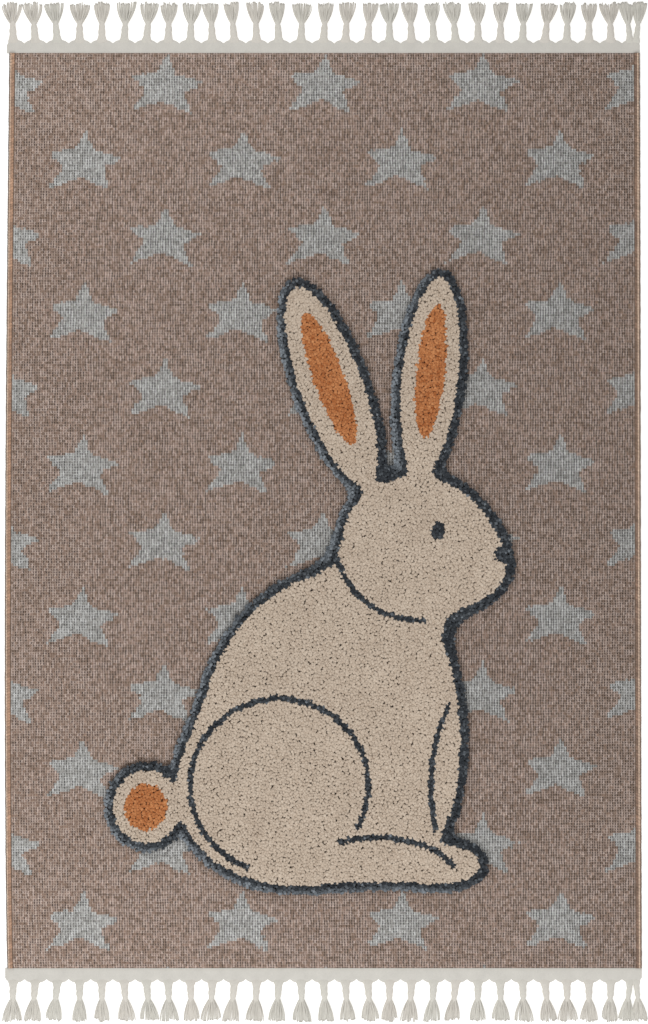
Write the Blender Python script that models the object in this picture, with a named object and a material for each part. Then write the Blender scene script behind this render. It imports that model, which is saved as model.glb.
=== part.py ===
"""A woven kids rug that lies flat: cloth with a picture raised in pile, selvedges and knotted fringes.

Units are metres, +Z is up and the floor is z = 0. The origin is the centre of the cloth's underside,
+Y runs along the rug towards the top of its picture, and +X is to the right.
"""

import math
from typing import NamedTuple

import bmesh
import bpy
import numpy as np


# Driving dimensions of the cloth
RUG_WIDTH = 1.200
RUG_LENGTH = 1.728
GROUND_T = 0.006
PILE_T = 0.015
BOW_SKEW = 0.7
PIECE_GAP = 0.0003

# The overlocked selvedge along each long side
SELVEDGE_W = 0.0105
SELVEDGE_T = 0.007
SELVEDGE_ROUND = 0.002
SELVEDGE_SWAY = 0.0004
SIDE_STATIONS = 25

# The pile's rounded rim, and how far its top leans the way the nap lies
RIM_INSET = 0.005
RIM_DROP = 0.004
NAP_LEAN = 0.0015
OUTLINE_STEP = 0.011

# The cotton band sewn across each end, and the tassels that it carries
BAND_T = 0.003
BAND_CORNER_R = 0.003
CORNER_ROOM = 0.0008
FOOT_PROUD = 0.0060
FOOT_HALF = 0.0105
TASSEL_PITCH = 0.0418
TASSEL_COUNT = 29
FIRST_TASSEL_X = -0.5868
PAIR_HALF_PITCH = 0.0053
PAIR_SPREAD = 0.0085
LOCKS_PER_TASSEL = 4
LOCKS_PER_TWIN = 3
TOP_NARROWING = 0.78
LOCK_FILL = 0.90
TIP_UNEVENNESS = 0.0022


class SideShape(NamedTuple):
    """A long side: its way along x, how far it bows out and is drawn in, and the bands' overhang."""

    name: str
    way: int
    bow: float
    draw_in: float
    band_overhang: float


LEFT = SideShape("left", -1, 0.0054, 0.0035, 0.0025)
RIGHT = SideShape("right", 1, -0.0012, 0.0038, 0.0005)


class EndShape(NamedTuple):
    """An end: its way along y and the width of its cotton band between two tassels."""

    name: str
    way: int
    band_w: float


TOP = EndShape("top", 1, 0.0185)
BOTTOM = EndShape("bottom", -1, 0.0210)


class Oval(NamedTuple):
    """One oval of the picture, with the width of the soft blend to the ovals before it."""

    name: str
    x: float
    y: float
    half_w: float
    half_h: float
    tilt_deg: float
    blend: float


# The picture is a plain rabbit that sits in profile: ovals blended into one outline
PICTURE = (
    Oval("body", -0.010, -0.400, 0.235, 0.300, -18.0, 0.0),
    Oval("chest", 0.150, -0.420, 0.118, 0.250, 4.0, 0.060),
    Oval("rump", -0.080, -0.530, 0.214, 0.186, 0.0, 0.060),
    Oval("tail", -0.336, -0.560, 0.078, 0.084, 0.0, 0.022),
    Oval("hind_foot", 0.070, -0.672, 0.218, 0.046, 0.0, 0.030),
    Oval("front_paw", 0.222, -0.668, 0.084, 0.050, 0.0, 0.030),
    Oval("head", 0.176, -0.066, 0.158, 0.142, -12.0, 0.090),
    Oval("muzzle", 0.268, -0.104, 0.084, 0.072, -10.0, 0.060),
    Oval("near_ear", 0.012, 0.232, 0.074, 0.214, 20.0, 0.034),
    Oval("far_ear", 0.198, 0.248, 0.068, 0.206, -6.0, 0.034),
)


class Section(NamedTuple):
    """A tassel's cross-section: distance out from the band's cusps, half width and thickness."""

    reach: float
    half_w: float
    thick: float


# From the band to the knot: heel, neck, middle of the neck, waist and the head of the skirt
NECK_SECTIONS = (
    Section(0.0085, 0.0070, 0.0055),
    Section(0.0140, 0.0054, 0.0078),
    Section(0.0260, 0.0056, 0.0085),
    Section(0.0376, 0.0043, 0.0070),
    Section(0.0450, 0.0078, 0.0080),
)
# The skirt's middle and its tips, where it has parted into locks
SKIRT_SECTIONS = (
    Section(0.0590, 0.0124, 0.0075),
    Section(0.0760, 0.0164, 0.0060),
)


class Tassel(NamedTuple):
    """Where a tassel stands on its band, how far it leans and how many locks its skirt has."""

    x: float
    foot_left: float
    foot_right: float
    lean: float
    locks: int


def new_material(name: str, colour: tuple, roughness: float) -> bpy.types.Material:
    """A plain textile finish."""
    material = bpy.data.materials.new(name)
    material.use_nodes = True
    shader = material.node_tree.nodes["Principled BSDF"]
    shader.inputs["Base Color"].default_value = (*colour, 1.0)
    shader.inputs["Roughness"].default_value = roughness
    shader.inputs["Metallic"].default_value = 0.0
    return material


def new_object(name: str, bm: bmesh.types.BMesh, material: bpy.types.Material) -> bpy.types.Object:
    """Turn a finished bmesh into a named object with its faces pointing out."""
    bmesh.ops.recalc_face_normals(bm, faces=bm.faces)
    mesh = bpy.data.meshes.new(name)
    bm.to_mesh(mesh)
    bm.free()
    mesh.materials.append(material)
    made = bpy.data.objects.new(name, mesh)
    bpy.context.collection.objects.link(made)
    return made


def side_reach(side: SideShape, y: float) -> float:
    """How far a long side lies from the middle line at y, over its selvedge.

    It bows by a sine that peaks below the middle, and is drawn in by the square of the way up.
    """
    share = min(max(y / RUG_LENGTH + 0.5, 0.0), 1.0)
    bowed = side.bow * math.sin(math.pi * share**BOW_SKEW)
    return RUG_WIDTH / 2 + bowed - side.draw_in * share * share


def side_stations() -> list:
    """The heights along the long sides where the cloth and its selvedges have a section."""
    step = RUG_LENGTH / (SIDE_STATIONS - 1)
    return [-RUG_LENGTH / 2 + step * i for i in range(SIDE_STATIONS)]


def oval_distance(oval: Oval, x: float, y: float) -> float:
    """Roughly the signed distance from a point to an oval's edge, below zero inside."""
    turn = math.radians(oval.tilt_deg)
    along = (x - oval.x) * math.cos(turn) + (y - oval.y) * math.sin(turn)
    across = (y - oval.y) * math.cos(turn) - (x - oval.x) * math.sin(turn)
    share = math.hypot(along / oval.half_w, across / oval.half_h)
    steepness = math.hypot(along / oval.half_w**2, across / oval.half_h**2)
    return share * (share - 1) / max(steepness, 1e-9)


def picture_distance(x: float, y: float) -> float:
    """The signed distance to the picture's outline: each oval is blended into those before it."""
    total = oval_distance(PICTURE[0], x, y)
    for oval in PICTURE[1:]:
        near = oval_distance(oval, x, y)
        mix = min(max(0.5 + 0.5 * (total - near) / oval.blend, 0.0), 1.0)
        total = total * (1 - mix) + near * mix - oval.blend * mix * (1 - mix)
    return total


def picture_slope(x: float, y: float) -> np.ndarray:
    """The direction in which the distance to the outline grows, and how fast."""
    tiny = 1e-5
    in_x = picture_distance(x + tiny, y) - picture_distance(x - tiny, y)
    in_y = picture_distance(x, y + tiny) - picture_distance(x, y - tiny)
    return np.array([in_x, in_y]) / (2 * tiny)


def onto_level(point: np.ndarray, level: float) -> np.ndarray:
    """Move a point up or down the slope until it lies at the given distance from the outline."""
    for _ in range(6):
        slope = picture_slope(*point)
        miss = picture_distance(*point) - level
        point = point - slope * miss / np.dot(slope, slope)
    return point


def picture_outline() -> list:
    """Walk round the picture's edge in even steps, counter-clockwise from the muzzle's side."""
    muzzle = next(oval for oval in PICTURE if oval.name == "muzzle")
    start = onto_level(np.array([muzzle.x + muzzle.half_w, muzzle.y]), 0.0)
    points = [start]
    while len(points) < 4 or np.linalg.norm(points[-1] - start) > OUTLINE_STEP * 0.8:
        slope = picture_slope(*points[-1])
        ahead = np.array([-slope[1], slope[0]]) / np.linalg.norm(slope)
        points.append(onto_level(points[-1] + ahead * OUTLINE_STEP, 0.0))
    return points[:-1]


def build_pile(material: bpy.types.Material) -> bpy.types.Object:
    """The raised picture alone, as a low solid with a rounded rim that is then joined to the cloth."""
    outline = picture_outline()
    rim = [onto_level(point, -RIM_INSET) + NAP_LEAN for point in outline]
    bm = bmesh.new()
    loops = []
    for points, height in ((outline, GROUND_T / 2), (outline, PILE_T - RIM_DROP), (rim, PILE_T)):
        loops.append([bm.verts.new((point[0], point[1], height)) for point in points])
    bm.faces.new(loops[0])
    bm.faces.new(loops[-1])
    count = len(outline)
    for lower, upper in zip(loops, loops[1:]):
        for i in range(count):
            j = (i + 1) % count
            bm.faces.new((lower[i], lower[j], upper[j], upper[i]))
    pile = new_object("picture_pile", bm, material)
    pile.hide_render = True
    pile.display_type = "WIRE"
    return pile


def build_cloth(material: bpy.types.Material) -> bpy.types.Object:
    """The one-piece cloth: the flat ground, drawn in towards the top, with the picture's pile on it."""
    bm = bmesh.new()
    inset = SELVEDGE_W + PIECE_GAP
    right = [(side_reach(RIGHT, y) - inset, y) for y in side_stations()]
    left = [(inset - side_reach(LEFT, y), y) for y in reversed(side_stations())]
    face = bm.faces.new([bm.verts.new((x, y, 0.0)) for x, y in right + left])
    raised = bmesh.ops.extrude_face_region(bm, geom=[face])
    corners = [item for item in raised["geom"] if isinstance(item, bmesh.types.BMVert)]
    bmesh.ops.translate(bm, verts=corners, vec=(0.0, 0.0, GROUND_T))
    cloth = new_object("rug_cloth", bm, material)
    union = cloth.modifiers.new("raise_picture", "BOOLEAN")
    union.operation = "UNION"
    union.solver = "EXACT"
    union.object = build_pile(material)
    return cloth


def build_selvedge(side: SideShape, material: bpy.types.Material) -> bpy.types.Object:
    """The stitched edge on one side: a rounded bar that follows the cloth."""
    w, t, r = SELVEDGE_W, SELVEDGE_T, SELVEDGE_ROUND
    profile = ((0, 0), (w - r, 0), (w, r), (w, t - r), (w - r, t), (r, t), (0, t - r))
    bm = bmesh.new()
    rings = []
    for i, y in enumerate(side_stations()):
        inner = side_reach(side, y) - w
        sway = SELVEDGE_SWAY * math.sin(1.7 * i + side.way)
        ring = []
        for out, height in profile:
            stray = sway * out / w
            ring.append(bm.verts.new((side.way * (inner + out + stray), y, height)))
        rings.append(ring)
    bm.faces.new(rings[0])
    bm.faces.new(rings[-1])
    count = len(profile)
    for near, far in zip(rings, rings[1:]):
        for i in range(count):
            j = (i + 1) % count
            bm.faces.new((near[i], near[j], far[j], far[i]))
    return new_object(f"selvedge_{side.name}", bm, material)


def tassel_lean(index: float) -> float:
    """How far a tassel's tips stray sideways: a slow wave along the band with a quicker one on it."""
    slow = 0.0062 * math.sin(2 * math.pi * (index - 3.6) / 9.0)
    quick = 0.0022 * math.sin(2.4 * index + 0.6)
    return slow + quick


def band_reach(side: SideShape, end: EndShape) -> float:
    """How far a band's end lies from the middle line."""
    return side_reach(side, end.way * RUG_LENGTH / 2) + side.band_overhang


def fringe_tassels(end: EndShape) -> list:
    """The tassels of one end from left to right; the last place holds a pair, close together."""
    tassels = []
    for i in range(TASSEL_COUNT - 1):
        x = FIRST_TASSEL_X + TASSEL_PITCH * i
        room = x + band_reach(LEFT, end) - BAND_CORNER_R - CORNER_ROOM
        tassels.append(Tassel(x, min(FOOT_HALF, room), FOOT_HALF, tassel_lean(i), LOCKS_PER_TASSEL))
    pair_x = FIRST_TASSEL_X + TASSEL_PITCH * (TASSEL_COUNT - 1)
    near_foot = PAIR_HALF_PITCH - PIECE_GAP
    room = band_reach(RIGHT, end) - BAND_CORNER_R - CORNER_ROOM - pair_x - PAIR_HALF_PITCH
    left_x = pair_x - PAIR_HALF_PITCH
    right_x = pair_x + PAIR_HALF_PITCH
    tassels.append(Tassel(left_x, FOOT_HALF - PAIR_HALF_PITCH, near_foot, -PAIR_SPREAD, LOCKS_PER_TWIN))
    tassels.append(Tassel(right_x, near_foot, min(FOOT_HALF, room), PAIR_SPREAD, LOCKS_PER_TWIN))
    return tassels


def band_outline(end: EndShape, tassels: list) -> list:
    """The band in plan, as x and the distance out from the cloth: cusps between the tassels' feet."""
    left_x = -band_reach(LEFT, end)
    right_x = band_reach(RIGHT, end)
    points = [(left_x, PIECE_GAP)]
    corner = []
    for step in range(4):
        angle = math.radians(30 * step)
        corner.append((BAND_CORNER_R * (1 - math.cos(angle)), BAND_CORNER_R * (math.sin(angle) - 1)))
    points += [(left_x + inward, end.band_w + drop) for inward, drop in corner]
    foot_line = end.band_w + FOOT_PROUD
    for tassel, following in zip(tassels, tassels[1:] + [None]):
        points.append((tassel.x - tassel.foot_left, foot_line))
        points.append((tassel.x + tassel.foot_right, foot_line))
        if following:
            cusp = (tassel.x + tassel.foot_right + following.x - following.foot_left) / 2
            points.append((cusp, end.band_w))
    points += [(right_x - inward, end.band_w + drop) for inward, drop in reversed(corner)]
    points.append((right_x, PIECE_GAP))
    return points


def draw_out(bm, face, centre: float, reach_y: float, section: Section):
    """Extrude an end face once more and set it to a section: wide on the floor, narrower on top."""
    end = bmesh.ops.extrude_discrete_faces(bm, faces=[face])["faces"][0]
    middle = end.calc_center_median().x
    for vert in end.verts:
        on_top = vert.co.z > BAND_T / 2
        side = 1 if vert.co.x > middle else -1
        half = section.half_w * (TOP_NARROWING if on_top else 1.0)
        vert.co = (centre + side * half, reach_y, section.thick if on_top else 0.0)
    return end


def split_into_locks(bm, end, count: int) -> list:
    """Part a tassel's end face into upright strips, from left to right."""
    level = [edge for edge in end.edges if abs(edge.verts[0].co.z - edge.verts[1].co.z) < 1e-6]
    reach_y = level[0].verts[0].co.y
    cut = bmesh.ops.subdivide_edges(bm, edges=level, cuts=count - 1, use_grid_fill=True)
    corners = [item for item in cut["geom_inner"] if isinstance(item, bmesh.types.BMVert)]
    around = {face for vert in corners for face in vert.link_faces}
    strips = [face for face in around if all(abs(vert.co.y - reach_y) < 1e-6 for vert in face.verts)]
    return sorted(strips, key=lambda face: face.calc_center_median().x)


def build_tassel(bm, foot, tassel: Tassel, end: EndShape, seed: float) -> None:
    """Draw one tassel out of its foot: heel, neck and knot, then the skirt's separate locks."""
    tip_reach = SKIRT_SECTIONS[-1].reach

    def centre_at(reach: float) -> float:
        return tassel.x + tassel.lean * reach / tip_reach

    def out_at(reach: float) -> float:
        return end.way * (RUG_LENGTH / 2 + end.band_w + reach)

    slimmer = 0.78 if tassel.locks == LOCKS_PER_TWIN else 1.0
    face = foot
    for section in NECK_SECTIONS:
        half = min(section.half_w * slimmer, tassel.foot_left, tassel.foot_right)
        fitted = section._replace(half_w=half)
        face = draw_out(bm, face, centre_at(section.reach), out_at(section.reach), fitted)
    for k, strip in enumerate(split_into_locks(bm, face, tassel.locks)):
        place = k - (tassel.locks - 1) / 2
        for section in SKIRT_SECTIONS:
            share = section.half_w * slimmer / tassel.locks
            at_tip = section.reach == tip_reach
            stray = TIP_UNEVENNESS * math.sin(2.3 * k + 5.1 * seed) if at_tip else 0.0
            fitted = section._replace(half_w=share * LOCK_FILL)
            centre = centre_at(section.reach) + 2 * share * place
            strip = draw_out(bm, strip, centre, out_at(section.reach + stray), fitted)


def build_fringe(end: EndShape, material: bpy.types.Material) -> bpy.types.Object:
    """A cotton band across one end, with its tassels drawn out of its edge."""
    tassels = fringe_tassels(end)
    bm = bmesh.new()
    plan = [(x, end.way * (RUG_LENGTH / 2 + out)) for x, out in band_outline(end, tassels)]
    face = bm.faces.new([bm.verts.new((x, y, 0.0)) for x, y in plan])
    raised = bmesh.ops.extrude_face_region(bm, geom=[face])
    corners = [item for item in raised["geom"] if isinstance(item, bmesh.types.BMVert)]
    bmesh.ops.translate(bm, verts=corners, vec=(0.0, 0.0, BAND_T))
    foot_y = RUG_LENGTH / 2 + end.band_w + FOOT_PROUD
    feet = [f for f in bm.faces if all(abs(abs(vert.co.y) - foot_y) < 1e-6 for vert in f.verts)]
    feet.sort(key=lambda foot: foot.calc_center_median().x)
    for i, (foot, tassel) in enumerate(zip(feet, tassels)):
        build_tassel(bm, foot, tassel, end, seed=i + end.way)
    return new_object(f"fringe_{end.name}", bm, material)


def main() -> None:
    """Clear the scene and build the rug's five pieces."""
    for old in list(bpy.data.objects):
        bpy.data.objects.remove(old, do_unlink=True)
    build_cloth(new_material("woven_ground", (0.24, 0.18, 0.15), 0.95))
    for side in (LEFT, RIGHT):
        build_selvedge(side, new_material(f"selvedge_yarn_{side.name}", (0.34, 0.22, 0.15), 0.9))
    for end in (TOP, BOTTOM):
        build_fringe(end, new_material(f"band_cotton_{end.name}", (0.64, 0.61, 0.55), 0.9))


if __name__ == "__main__":
    main()
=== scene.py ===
"""The looks of a woven kids rug that lies flat on a pale floor, seen from straight above.

The rug is a ribbed taupe cloth with woven stars, a plain rabbit picture raised in cut pile, overlocked
long sides and a cotton band with twisted tassels on each end. Metres throughout, +Z up.
"""

import logging
import math
from dataclasses import dataclass, field, fields
from enum import Enum

import bpy
import numpy as np
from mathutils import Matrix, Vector


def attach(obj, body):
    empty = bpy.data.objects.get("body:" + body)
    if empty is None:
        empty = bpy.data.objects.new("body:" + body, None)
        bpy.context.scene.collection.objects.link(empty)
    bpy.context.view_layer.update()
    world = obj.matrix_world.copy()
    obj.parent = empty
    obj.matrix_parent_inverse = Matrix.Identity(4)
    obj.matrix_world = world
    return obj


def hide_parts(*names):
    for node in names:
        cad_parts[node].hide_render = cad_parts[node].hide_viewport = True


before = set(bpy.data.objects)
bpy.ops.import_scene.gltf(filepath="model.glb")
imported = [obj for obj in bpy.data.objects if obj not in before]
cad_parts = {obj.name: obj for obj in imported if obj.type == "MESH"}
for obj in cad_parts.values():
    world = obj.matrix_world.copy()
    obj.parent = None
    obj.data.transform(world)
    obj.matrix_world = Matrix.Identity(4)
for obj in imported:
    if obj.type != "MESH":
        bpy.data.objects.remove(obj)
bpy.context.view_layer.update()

LOG = logging.getLogger("rug")
BODY = "root"
BAKE_MAP = "OFBake"
WEAVE_MAP = "WeaveMap"


class End(Enum):
    """The two fringed ends: way along y, the band's width between two tassels, the tassels' reach."""

    TOP = (1, 0.0185, 0.0755)
    LOWER = (-1, 0.0210, 0.0775)

    def __init__(self, way: int, band_w: float, tip_reach: float) -> None:
        """Keep the end's own values by name."""
        self.way = way
        self.band_w = band_w
        self.tip_reach = tip_reach

    @property
    def node(self) -> str:
        """The name of the end's node in the frame."""
        return "fringe_top" if self is End.TOP else "fringe_bottom"


class Side(Enum):
    """The two long sides: way along x, bow, draw-in at the top, how far the side is pushed out, the
    bands' overhang and how orange the selvedge is."""

    LEFT = (-1, 0.0054, 0.0035, -0.0021, 0.0046, 0.75)
    RIGHT = (1, -0.0012, 0.0038, 0.0006, -0.0001, 0.12)

    def __init__(
        self, way: int, bow: float, draw_in: float, push: float, overhang: float, warm: float
    ) -> None:
        """Keep the side's own values by name."""
        self.way = way
        self.bow = bow
        self.draw_in = draw_in
        self.push = push
        self.band_overhang = overhang
        self.warmth = warm

    @property
    def node(self) -> str:
        """The name of the side's node in the frame."""
        return "selvedge_left" if self is Side.LEFT else "selvedge_right"


class PileColour(Enum):
    """The yarns of the raised picture; a value is the yarn's number in an array of tufts."""

    CREAM = 0
    SLATE = 1
    ORANGE = 2


@dataclass(frozen=True)
class RugPlan:
    """The rug's driving sizes, as its construction has them."""

    width: float = 1.200
    length: float = 1.728
    ground_t: float = 0.006
    pile_t: float = 0.015
    bow_skew: float = 0.7
    gap: float = 0.0003
    selvedge_w: float = 0.0105
    selvedge_t: float = 0.007
    band_t: float = 0.003
    rib_pitch: float = 0.00484
    row_pitch: float = 0.00495

    def side_reach(self, side: Side, y: np.ndarray) -> np.ndarray:
        """How far a side lies from the middle line: half the width and the side's push, plus a
        skewed sine bow, less a draw-in that grows with the square of the way up the rug."""
        share = np.clip(y / self.length + 0.5, 0.0, 1.0)
        bowed = side.bow * np.sin(np.pi * share**self.bow_skew)
        return self.width / 2 + side.push + bowed - side.draw_in * share**2

    def band_reach(self, side: Side, end: End) -> float:
        """How far a band's end lies from the middle line."""
        return float(self.side_reach(side, np.array(end.way * self.length / 2))) + side.band_overhang


PLAN = RugPlan()


def waves(x: np.ndarray, y: np.ndarray, size: float, seed: int) -> np.ndarray:
    """Soft unevenness from -1 to 1: seven sine waves of seeded directions, added and averaged.

    Args:
        x: first coordinate of each point.
        y: second coordinate of each point.
        size: the usual length of a wave.
        seed: number that picks the waves.

    Returns:
        One value for each point.
    """
    draw = np.random.default_rng(seed)
    total = np.zeros(np.broadcast(x, y).shape)
    for _ in range(7):
        angle, phase, stretch = draw.uniform(0, 2 * np.pi, 2).tolist() + [draw.uniform(0.6, 1.7)]
        along = x * np.cos(angle) + y * np.sin(angle)
        total += np.sin(2 * np.pi * along / (size * stretch) + phase)
    return total / 4.0


def ease(value: np.ndarray) -> np.ndarray:
    """A soft step: 3v^2 - 2v^3 of the value held between 0 and 1."""
    held = np.clip(value, 0.0, 1.0)
    return held * held * (3 - 2 * held)


def mesh_piece(name: str, verts: np.ndarray, quads: np.ndarray, tris: np.ndarray | None = None):
    """Make a smooth mesh object at the origin from whole arrays.

    Args:
        name: the piece's name.
        verts: corner places, n by 3.
        quads: four-cornered faces as corner numbers, m by 4.
        tris: three-cornered faces, k by 3, or None.

    Returns:
        The new object, linked into the scene.
    """
    tris = np.zeros((0, 3), int) if tris is None else tris
    mesh = bpy.data.meshes.new(name)
    mesh.vertices.add(len(verts))
    mesh.vertices.foreach_set("co", np.ascontiguousarray(verts, np.float32).ravel())
    corners = np.concatenate([quads.ravel(), tris.ravel()]).astype(np.int32)
    sizes = np.concatenate([np.full(len(quads), 4), np.full(len(tris), 3)])
    mesh.loops.add(len(corners))
    mesh.loops.foreach_set("vertex_index", corners)
    mesh.polygons.add(len(sizes))
    starts = np.concatenate([[0], np.cumsum(sizes)[:-1]]).astype(np.int32)
    mesh.polygons.foreach_set("loop_start", starts)
    mesh.polygons.foreach_set("use_smooth", np.ones(len(sizes), bool))
    mesh.update(calc_edges=True)
    mesh.validate()
    piece = bpy.data.objects.new(name, mesh)
    bpy.context.collection.objects.link(piece)
    return piece


def add_values(piece: bpy.types.Object, name: str, values: np.ndarray) -> None:
    """Store one number for each corner place of a piece under an attribute's name."""
    attribute = piece.data.attributes.new(name, "FLOAT", "POINT")
    attribute.data.foreach_set("value", np.ascontiguousarray(values, np.float32).ravel())


def add_map(
    piece: bpy.types.Object, name: str, places: np.ndarray, last: np.ndarray | None = None
) -> None:
    """Store a UV map that is worked out for each corner place of a piece.

    Args:
        piece: the mesh object.
        name: the map's name.
        places: a place on the map for each corner place, n by 2.
        last: places on the map for the corners of the last face alone, or None.
    """
    mesh = piece.data
    corners = np.empty(len(mesh.loops), np.int32)
    mesh.loops.foreach_get("vertex_index", corners)
    spread = places[corners].astype(np.float32)
    if last is not None:
        spread[-len(last) :] = last
    layer = mesh.uv_layers.new(name=name)
    layer.uv.foreach_set("vector", spread.ravel())


def finish_piece(piece, materials: list, node: str | None = None) -> None:
    """Dress a piece, hang it on the rug's body and report it.

    Args:
        piece: the finished mesh object.
        materials: the piece's materials in the order of its faces' numbers.
        node: the frame's node that the piece stands for, or None.
    """
    for material in materials:
        piece.data.materials.append(material)
    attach(piece, BODY)
    if node:
        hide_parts(node)
    sides = np.empty(len(piece.data.polygons), np.int32)
    piece.data.polygons.foreach_get("loop_total", sides)
    LOG.info("%s: %d triangles", piece.name, int((sides - 2).sum()))


def ring_faces(steps: int, sides: int, count: int, turned: bool = False) -> tuple:
    """The faces of closed tubes whose corners are their rings in order, then their two end points.

    Args:
        steps: rings of a tube.
        sides: corners of a ring.
        count: how many tubes follow one another.
        turned: True where the rings run so that the walls need the other direction.

    Returns:
        Quads of the walls and tris of the two end fans, for all the tubes.
    """
    s, a = np.meshgrid(np.arange(steps - 1), np.arange(sides), indexing="ij")
    b = (a + 1) % sides
    quads = [s * sides + a, s * sides + b, (s + 1) * sides + b, (s + 1) * sides + a]
    edge = np.arange(sides)
    beside = (edge + 1) % sides
    top = (steps - 1) * sides
    start = [beside, edge, np.full(sides, steps * sides)]
    end = [top + edge, top + beside, np.full(sides, steps * sides + 1)]
    if turned:
        quads = [quads[0], quads[3], quads[2], quads[1]]
        start[:2] = start[1::-1]
        end[:2] = end[1::-1]
    shift = (np.arange(count) * (steps * sides + 2))[:, None, None]
    quads = np.stack(quads, -1).reshape(1, -1, 4) + shift
    fans = np.concatenate([np.stack(start, -1), np.stack(end, -1)])[None] + shift
    return quads.reshape(-1, 4), fans.reshape(-1, 3)


def grid_faces(rows: int, wide: int) -> tuple:
    """The quads of a grid of corners, and the corners of its rim in order.

    Args:
        rows: rows of corners.
        wide: corners in a row.

    Returns:
        Quads, and corner numbers round the rim.
    """
    i, j = np.meshgrid(np.arange(rows - 1), np.arange(wide - 1), indexing="ij")
    corner = i * wide + j
    quads = np.stack([corner, corner + 1, corner + wide + 1, corner + wide], -1).reshape(-1, 4)
    rim = np.concatenate([
        np.arange(wide),
        np.arange(2, rows) * wide - 1,
        np.arange(rows * wide - 1, (rows - 1) * wide - 1, -1),
        np.arange(rows - 2, 0, -1) * wide,
    ])
    return quads, rim


def tubes(paths: np.ndarray, radii: np.ndarray, sides: int) -> tuple:
    """Closed tubes round many paths that run mostly along Y.

    Each ring stands upright: path + radius * (cos a, 0, sin a), and each end is closed by a fan to
    the path's own end point, pushed out by a third of the radius.

    Args:
        paths: tubes by points by 3.
        radii: tubes by points.
        sides: corners of a ring.

    Returns:
        Corner places, quads, tris, and for each corner its tube's number and share of the length.
    """
    count, steps = radii.shape
    angles = 2 * np.pi * (np.arange(sides) + 0.5) / sides
    ring = np.stack([np.cos(angles), np.zeros(sides), np.sin(angles)], -1)
    walls = paths[:, :, None, :] + radii[:, :, None, None] * ring
    way = paths[:, -1] - paths[:, -2]
    way /= np.linalg.norm(way, axis=1, keepdims=True)
    first = paths[:, 0] - way * radii[:, :1] / 3
    last = paths[:, -1] + way * radii[:, -1:] / 3
    verts = np.concatenate([walls.reshape(count, -1, 3), first[:, None], last[:, None]], 1)
    quads, tris = ring_faces(steps, sides, count)
    share = np.concatenate([np.repeat(np.linspace(0, 1, steps), sides), [0.0, 1.0]])
    number = np.repeat(np.arange(count), verts.shape[1])
    return verts.reshape(-1, 3), quads, tris, number, np.tile(share, count)


class Sheet:
    """Adds and links the shader nodes of one material or group in few words."""

    def __init__(self, tree: bpy.types.NodeTree) -> None:
        """Keep the tree that the nodes go into."""
        self.tree = tree

    def add(self, kind: str, **settings):
        """Add a node and set its own settings."""
        node = self.tree.nodes.new(kind)
        for name, value in settings.items():
            setattr(node, name, value)
        return node

    def feed(self, socket, value) -> None:
        """Link another node's output into a socket, or set the socket to a plain value."""
        if isinstance(value, bpy.types.NodeSocket):
            self.tree.links.new(value, socket)
        elif value is not None:
            socket.default_value = value

    def math(self, operation: str, *values):
        """One Math node's result."""
        node = self.add("ShaderNodeMath", operation=operation)
        for socket, value in zip(node.inputs, values):
            self.feed(socket, value)
        return node.outputs[0]

    def mix(self, share, first, second, blend: str = "MIX"):
        """Mix two colours by a share."""
        node = self.add("ShaderNodeMix", data_type="RGBA", blend_type=blend)
        self.feed(node.inputs["Factor"], share)
        for socket, value in ((node.inputs[6], first), (node.inputs[7], second)):
            self.feed(socket, (*value, 1.0) if isinstance(value, tuple) else value)
        return node.outputs[2]

    def group(self, made: bpy.types.NodeTree, **inputs):
        """Place a node group and give its named inputs, with _ for a space."""
        node = self.add("ShaderNodeGroup", node_tree=made)
        for name, value in inputs.items():
            self.feed(node.inputs[name.replace("_", " ")], value)
        return node.outputs


def new_group(name: str, inputs: dict, outputs: dict) -> tuple:
    """Start a node group with named sockets.

    Args:
        name: the group's name.
        inputs: socket kinds by name; Value and Vector sockets.
        outputs: socket kinds by name.

    Returns:
        The group, its Sheet, its input sockets by name and its output node's sockets.
    """
    tree = bpy.data.node_groups.new(name, "ShaderNodeTree")
    for label, kind in inputs.items():
        tree.interface.new_socket(label, in_out="INPUT", socket_type=f"NodeSocket{kind}")
    for label, kind in outputs.items():
        tree.interface.new_socket(label, in_out="OUTPUT", socket_type=f"NodeSocket{kind}")
    sheet = Sheet(tree)
    given = sheet.add("NodeGroupInput").outputs
    wanted = sheet.add("NodeGroupOutput").inputs
    return tree, sheet, given, wanted


def yarn_grain_group() -> bpy.types.NodeTree:
    """Fine fibre speckle: a noise of the given size, brought to 1 plus or minus the strength."""
    inputs = {"Place": "Vector", "Size": "Float", "Strength": "Float"}
    tree, sheet, given, wanted = new_group("YarnGrain", inputs, {"Shade": "Float"})
    noise = sheet.add("ShaderNodeTexNoise", noise_dimensions="3D")
    sheet.feed(noise.inputs["Vector"], given["Place"])
    sheet.feed(noise.inputs["Scale"], sheet.math("DIVIDE", 1.0, given["Size"]))
    noise.inputs["Detail"].default_value = 1.5
    centred = sheet.math("MULTIPLY_ADD", noise.outputs["Fac"], 2.0, -1.0)
    spread = sheet.math("MULTIPLY", centred, given["Strength"])
    sheet.feed(wanted["Shade"], sheet.math("ADD", 1.0, spread))
    return tree


def random_at(sheet: Sheet, first, second, seed: float):
    """A random number from 0 to 1 for a pair of whole numbers and a seed."""
    pair = sheet.add("ShaderNodeCombineXYZ")
    for name, value in (("X", first), ("Y", second), ("Z", seed)):
        sheet.feed(pair.inputs[name], value)
    chance = sheet.add("ShaderNodeTexWhiteNoise", noise_dimensions="3D")
    sheet.feed(chance.inputs["Vector"], pair.outputs[0])
    return chance.outputs["Value"]


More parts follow.
